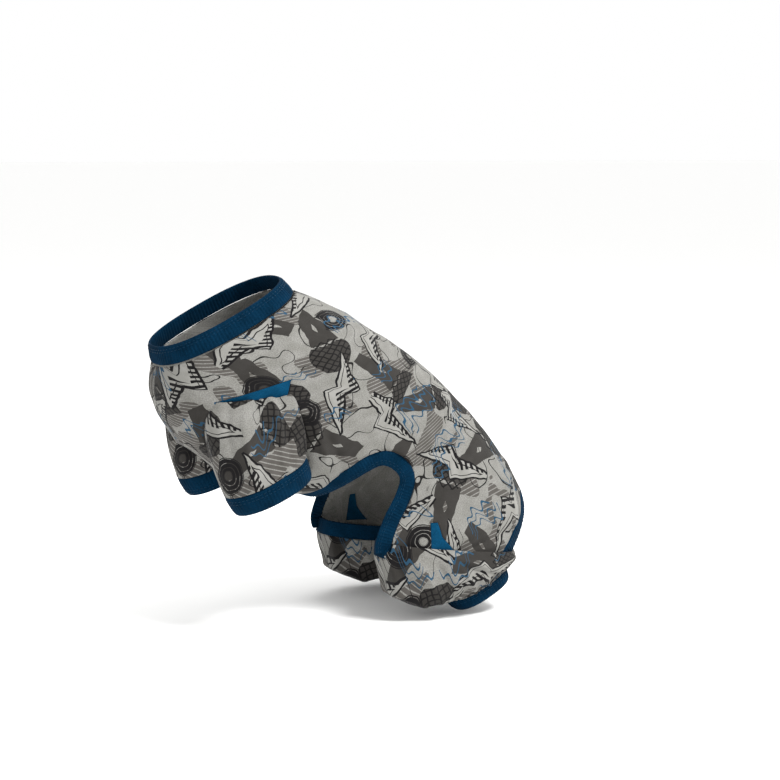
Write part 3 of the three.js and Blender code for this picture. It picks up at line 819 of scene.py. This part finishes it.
def even_path(path, normals, spacing, closed):
    """A path resampled at an even spacing, with its normals and each point's distance along it."""
    if closed:
        path, normals = np.vstack([path, path[:1]]), np.vstack([normals, normals[:1]])
    steps = np.linalg.norm(np.diff(path, axis=0), axis=1)
    reach = np.concatenate([[0], np.cumsum(steps)])
    at = np.linspace(0, reach[-1], max(int(reach[-1] / spacing), 8) + 1)
    if closed:
        at = at[:-1]
    resampled = [np.stack([np.interp(at, reach, v) for v in value.T], -1) for value in (path, normals)]
    unit = resampled[1] / np.linalg.norm(resampled[1], axis=1)[:, None]
    return resampled[0], unit, at, reach[-1]


# Each strip's path, width and ways, kept for its stitches.
bands = {}


def knit_band(name, path, normals, width, closed, pitch=rib_pitch):
    """A doubled rib strip along a path: a flat rounded tube with ribs across it."""
    points_per_rib, sides, same_spot = 7, 18, 0.000005
    path, normals, at, length = even_path(path, normals, pitch / points_per_rib, closed)
    if closed:
        tangents = np.roll(path, -1, axis=0) - np.roll(path, 1, axis=0)
    else:
        tangents = np.gradient(path, axis=0)
    tangents /= np.linalg.norm(tangents, axis=1)[:, None]
    across = np.cross(tangents, normals)
    across /= np.linalg.norm(across, axis=1)[:, None]
    bands[name] = {"path": path, "normals": normals, "across": across, "width": width}
    ribs = round(length / pitch)
    bm = bmesh.new()
    columns = len(path) if closed else len(path) - 1
    bmesh.ops.create_grid(bm, x_segments=columns, y_segments=sides, size=1)
    spots = np.array([vert.co[:2] for vert in bm.verts])
    column = np.round((spots[:, 0] + 1) / 2 * columns).astype(int) % len(path)
    turn = (spots[:, 1] + 1) * math.pi
    flat = signed_power(np.cos(turn), side_squareness)
    high = signed_power(np.sin(turn), face_squareness)
    rib = 0.5 - 0.5 * np.cos(2 * math.pi * ribs * at[column] / length)
    inner = 1 - np.abs(flat) ** 6
    rise = high * (trim_wall / 2 + rib_crown * (1 - flat**2)) - rib_depth * rib * inner * np.sign(high)
    sideways, outward = (flat * width / 2)[:, None], rise[:, None]
    place_points(bm, path[column] + across[column] * sideways + normals[column] * outward)
    bm.verts.index_update()
    u, v = at[column].astype(float), flat * width / 2
    layer = bm.loops.layers.uv.new("cloth")
    for face in bm.faces:
        face.smooth = True
        reach = [u[loop.vert.index] for loop in face.loops]
        for loop in face.loops:
            along = u[loop.vert.index]
            if closed and max(reach) - min(reach) > length / 2 and along < length / 2:
                along += length
            loop[layer].uv = (along * MM, v[loop.vert.index] * MM)
    bmesh.ops.remove_doubles(bm, verts=bm.verts, dist=same_spot)
    if not closed:
        bmesh.ops.holes_fill(bm, edges=[edge for edge in bm.edges if edge.is_boundary], sides=0)
    bmesh.ops.recalc_face_normals(bm, faces=bm.faces)
    piece = object_of(bm, name, [rib_blue])
    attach(piece, "root")
    return piece


def ring_path(end_frame, squareness, distance, taper, depth):
    """Middle of a band's wall round an open end, a distance past it, with its outward normals."""
    middle, half_width, half_length, rearward, out = (value[0] for value in end_frame)
    angles = np.linspace(0, 2 * math.pi, 720, endpoint=False)

    def ring(past):
        drawn = trim_middle - taper * past / depth
        across = (half_width + drawn) * signed_power(np.sin(angles), squareness)
        along = (half_length + drawn) * signed_power(np.cos(angles), squareness)
        points = middle + rearward * along[:, None] + out * past
        points[:, 0] += across
        return points

    path = ring(distance)
    tangents = np.roll(path, -1, axis=0) - np.roll(path, 1, axis=0)
    normals = np.cross(tangents, ring(depth) - ring(0))
    outward = np.sign(np.sum(normals * (path - path.mean(axis=0)), axis=1))
    return path, normals * outward[:, None] / np.linalg.norm(normals, axis=1)[:, None]


neck_frame = body_frame(np.array([0.0]))
neck_frame = (*neck_frame[:4], -neck_frame[4])
neck_path = ring_path(
    neck_frame, body_squareness, (neck_band_depth + sewn_gap) / 2, neck_band_taper, neck_band_depth
)
neck_band = knit_band("neck_rib_band", *neck_path, neck_band_depth - sewn_gap, closed=True)
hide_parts("neck_band")

# Each leg ends in a cuff of the same doubled rib. It is sewn to the jersey's edge and drawn in
# slightly towards its folded hem.
cuff_taper = 2
front_cuff_depth, hind_cuff_depth = 17, 12
cuffs = {
    "front_cuff": (sleeve_frame, sleeve_squareness, front_cuff_depth),
    "hind_cuff": (leg_frame, leg_squareness, hind_cuff_depth),
}
for node, (frame_of, squareness, depth) in cuffs.items():
    path, normals = ring_path(
        frame_of(np.array([1.0])), squareness, (depth + sewn_gap) / 2, cuff_taper, depth
    )
    for side, sign in (("left", 1), ("right", -1)):
        turned = np.array([sign, 1, 1])
        name = f"{node.replace('_', '_rib_')}_{side}"
        piece = knit_band(name, path * turned, normals * turned, depth - sewn_gap, closed=True)
        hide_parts(f"{node}_{side}")

# The belly opening is bound with a strip of the same rib, folded over the jersey's raw edge. It
# runs up the front of one thigh, over the flank, under the chest and down the other side. Its ends
# are tucked in behind the lower legs' front edges.
binding_width, binding_pitch = 12, 2.4
tuck_depth, tuck_length, tuck_curve = 3.4, 10, 1.5
outline_samples = 6000
flank_outline = [
    {"run": 0.032, "drop": 1.08},
    {"run": 0.034, "drop": 1.02},
    {"run": 0.068, "drop": 0.915},
    {"run": 0.118, "drop": 0.807},
    {"run": 0.132, "drop": 0.738},
    {"run": 0.09, "drop": 0.691},
    {"run": 0.042, "drop": 0.699},
    {"run": -0.047, "drop": 0.772},
    {"run": -0.115, "drop": 0.858},
    {"run": -0.135, "drop": 0.95},
    {"run": -0.13, "drop": 1.4},
]


def on_body(side_places, grow):
    """Place and angle on the body's left wall of those places of the side view that lie on it."""
    place, _ = surface_place(body_frame, body_squareness, side_places)
    middle, _, half_length, rearward, _ = body_frame(place)
    along = np.sum((side_places - middle) * rearward, axis=1) / (half_length + grow)
    inside = np.abs(along) < 1
    place, along = place[inside], along[inside]
    cosine = signed_power(along, 1 / body_squareness)
    angle = np.arctan2(np.sqrt(np.clip(1 - cosine**2, 0, 1)), cosine)
    return place, angle


shares = np.linspace(0, 1, outline_samples)
outline = side_point(
    column_at(flank_outline, "run", shares), column_at(flank_outline, "drop", shares)
)
ahead = np.gradient(outline, axis=0)
away = np.stack([0 * shares, ahead[:, 2], -ahead[:, 1]], -1)
away /= np.linalg.norm(away, axis=1)[:, None]
place, angle = on_body(outline + away * (binding_width / 2 + sewn_gap), trim_middle)
place, angle = np.append(place, place[-1]), np.append(angle, math.pi)
left_path = surface_point(body_frame, body_squareness, body_swells, place, angle, trim_middle)
left_normals = wall_normals(body_frame, body_squareness, body_swells, place, angle)
reach = np.linalg.norm(left_path - left_path[0], axis=1)
tuck = tuck_depth * np.clip(1 - reach / tuck_length, 0, 1) ** tuck_curve
left_path -= left_normals * tuck[:, None]
left_path[-1, 0] = 0
other_side = np.array([-1, 1, 1])
belly_path = np.vstack([left_path, left_path[-2::-1] * other_side])
belly_normals = np.vstack([left_normals, left_normals[-2::-1] * other_side])
belly_width = binding_width + 2 * sewn_gap
belly_binding = knit_band(
    "belly_rib_binding", belly_path, belly_normals, belly_width, closed=False, pitch=binding_pitch
)
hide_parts("belly_binding")

# A second binding of the same rib runs over the tail, from one lower leg to the other. It is a
# little wider, and its middle lies a little further in, so that it covers the jersey's edge.
rump_spare, rump_shift = 3.0, 1.0
leg_lap = 6
# Its path is picked from points of the trim's middle surface near the body's rear end.
angles = np.linspace(-math.pi, math.pi, 1441)
rump = body_frame(np.array([1.0]))
depths = np.linspace(0.86, 1, 200)
rump_grid = surface_point(
    body_frame, body_squareness, body_swells, depths[:, None], angles[None, :], trim_middle
)
behind = (rump[0][0] - rump_grid) @ rump[4][0]
nearest = np.abs(behind - binding_width / 2 - rump_shift).argmin(axis=0)
rump_path = rump_grid[nearest, np.arange(len(angles))]
rump_place = depths[nearest]
# The line in the side view where the lower legs' heads begin.
head_front, head_rear = side_point(0.04, 1.03), side_point(0.62, 1.125)
head_way = (head_rear - head_front) / np.linalg.norm(head_rear - head_front)
head_up = np.array([0, -head_way[2], head_way[1]])
above = (rump_path - head_front) @ head_up > -leg_lap
rump_normals = wall_normals(body_frame, body_squareness, body_swells, rump_place, angles)
rump_binding = knit_band(
    "rump_rib_binding",
    rump_path[above],
    rump_normals[above],
    binding_width + rump_spare,
    closed=False,
    pitch=binding_pitch,
)
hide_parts("rump_binding")

# The top inner edge of each lower leg is bound with the same rib, from the belly's binding to the
# rump's. It is stretched flat there and shows its ribs less.
flat_rib_height = 0.15
for side in ("left", "right"):
    bm, place, angle = outer_sheet(
        "leg_binding_left", leg_frame, leg_squareness, leg_swells, longest=1.6
    )
    u, v = unrolled(leg_frame, leg_squareness, place, angle)
    ribs = np.cos(2 * math.pi * u / binding_pitch)
    raise_points(bm, trim_spread + flat_rib_height * ribs)
    if side == "right":
        mirrored(bm)
    piece = finish_piece(bm, f"leg_rib_binding_{side}", [rib_blue], u, v, trim_wall)
    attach(piece, "root")
    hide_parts(f"leg_binding_{side}")

# Small wedges of brighter blue knit are let into the jersey over each sleeve and in front of each
# thigh, sewn flat along their edges.
inset_blue = rib_knit("knit_bright_blue", "#053049", "#0A4160")
for node in ("shoulder_inset", "thigh_inset"):
    for side in ("left", "right"):
        bm, place, angle = outer_sheet(
            f"{node}_left", body_frame, body_squareness, body_swells, longest=1.6
        )
        points = points_of(bm)
        raise_points(bm, crease(body_creases, points) + ripple(points, **body_ripple))
        u, v = unrolled(body_frame, body_squareness, place, angle)
        if side == "right":
            mirrored(bm)
        piece = finish_piece(bm, f"{node}_{side}_cloth", [inset_blue], u, v, jersey_shown)
        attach(piece, "root")
        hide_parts(f"{node}_{side}")

# Twin rows of lock stitches run along one side of each strip and hold its two layers together, in
# spun polyester thread of the strip's blue. It is a little smoother than the rib and sinks into it.
stitch_length, stitch_gap, thread, stitch_sink = 2.6, 0.9, 0.55, 0.12
# The rows' places, as shares of the way from a strip's middle to its edge.
stitch_rows = (0.62, 0.34)
thread_blue, _ = start_material(
    "polyester_thread_blue",
    {"Base Color": linear("#04283F"), "Roughness": 0.45, "Specular IOR Level": 0.1},
)


def stitch_row(bm, band, offset, height):
    """Adds a row of stitches to a bmesh, an offset across the band from its middle line."""
    path = band["path"] + band["across"] * offset + band["normals"] * height
    steps = np.linalg.norm(np.diff(path, axis=0), axis=1)
    reach = np.concatenate([[0], np.cumsum(steps)])
    count = int(reach[-1] / (stitch_length + stitch_gap))
    ways = np.gradient(path, axis=0)
    for at in (np.arange(count) + 0.5) * reach[-1] / count:
        index = int(np.searchsorted(reach, at).clip(1, len(path) - 1))
        along = Vector(ways[index]).normalized()
        up = Vector(band["normals"][index]).normalized()
        side = up.cross(along).normalized()
        turn = Matrix((along, side, up)).transposed().to_4x4()
        size = Matrix.Diagonal((stitch_length / 2 * MM, thread / 2 * MM, thread / 2 * MM, 1))
        where = Matrix.Translation(Vector(path[index] * MM))
        bmesh.ops.create_uvsphere(
            bm, u_segments=6, v_segments=5, radius=1, matrix=where @ turn @ size
        )


for name, band in bands.items():
    bm = bmesh.new()
    stitched_side = 1 if name.startswith(("neck", "front", "hind")) else -1
    for row in stitch_rows:
        rise = trim_wall / 2 + rib_crown * (1 - row**2) - stitch_sink
        stitch_row(bm, band, stitched_side * row * band["width"] / 2, rise)
    for face in bm.faces:
        face.smooth = True
    stitches = object_of(bm, f"{name}_stitches", [thread_blue])
    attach(stitches, "root")

# A pale floor, a white sky and three soft lamps, as in a product photograph, and a long lens at the
# photograph's angle. Its scale is in millimetres per pixel, at the garment's near side.
view_azimuth, view_elevation = math.radians(63), math.radians(7)
photo_scale, photo_size = 0.78, 780
origin_column, origin_row = 332, 309
focal_length, sensor_width = 90, 36
near_side = 30
camera_data = bpy.data.cameras.new("camera")
camera = bpy.data.objects.new("camera", camera_data)
bpy.context.scene.collection.objects.link(camera)
bpy.context.scene.camera = camera
camera_data.lens = focal_length
camera_data.sensor_width = sensor_width
back = np.array(
    [
        math.sin(view_azimuth) * math.cos(view_elevation),
        -math.cos(view_azimuth) * math.cos(view_elevation),
        math.sin(view_elevation),
    ]
)
right = np.array([math.cos(view_azimuth), math.sin(view_azimuth), 0])
up = np.cross(back, right)
middle_pixel = photo_size / 2
centre = (right * (middle_pixel - origin_column) + up * (origin_row - middle_pixel)) * photo_scale
distance = photo_scale * photo_size * focal_length / sensor_width
camera.location = (centre + back * near_side + back * distance) * MM
camera.rotation_mode = "QUATERNION"
camera.rotation_quaternion = Vector(-back).to_track_quat("-Z", "Y")

floor_reach, floor_gap = 60, 0.002
bm = bmesh.new()
bmesh.ops.create_grid(bm, x_segments=1, y_segments=1, size=floor_reach)
for vert in bm.verts:
    vert.co.z = cad_box[0].z - floor_gap
paper, _ = start_material("pale_studio_paper", {"Base Color": linear("#FDFDFC"), "Roughness": 0.9})
floor = object_of(bm, "floor", [paper])

world = bpy.data.worlds.new("studio")
world.use_nodes = True
sky = world.node_tree.nodes["Background"]
sky.inputs["Color"].default_value = linear("#FFFFFF")
sky.inputs["Strength"].default_value = 1.0
bpy.context.scene.world = world
bpy.context.scene.view_settings.view_transform = "Standard"
# Lamps stand at places in metres, and shine at the garment's middle.
lamp_target = Vector((0, 0, -0.1))
lamps = [
    {"name": "key", "place": (1.0, 0.45, 1.5), "power": 44, "size": 0.6},
    {"name": "fill", "place": (0.9, -1.1, 0.4), "power": 0.5, "size": 1.2},
    {"name": "rim", "place": (-0.9, 0.7, 1.1), "power": 8, "size": 0.8},
]
for lamp in lamps:
    light = bpy.data.lights.new(lamp["name"], "AREA")
    light.energy, light.size = lamp["power"], lamp["size"]
    holder = bpy.data.objects.new(lamp["name"], light)
    bpy.context.scene.collection.objects.link(holder)
    holder.location = lamp["place"]
    holder.rotation_mode = "QUATERNION"
    aim = lamp_target - holder.location
    holder.rotation_quaternion = aim.to_track_quat("-Z", "Y")
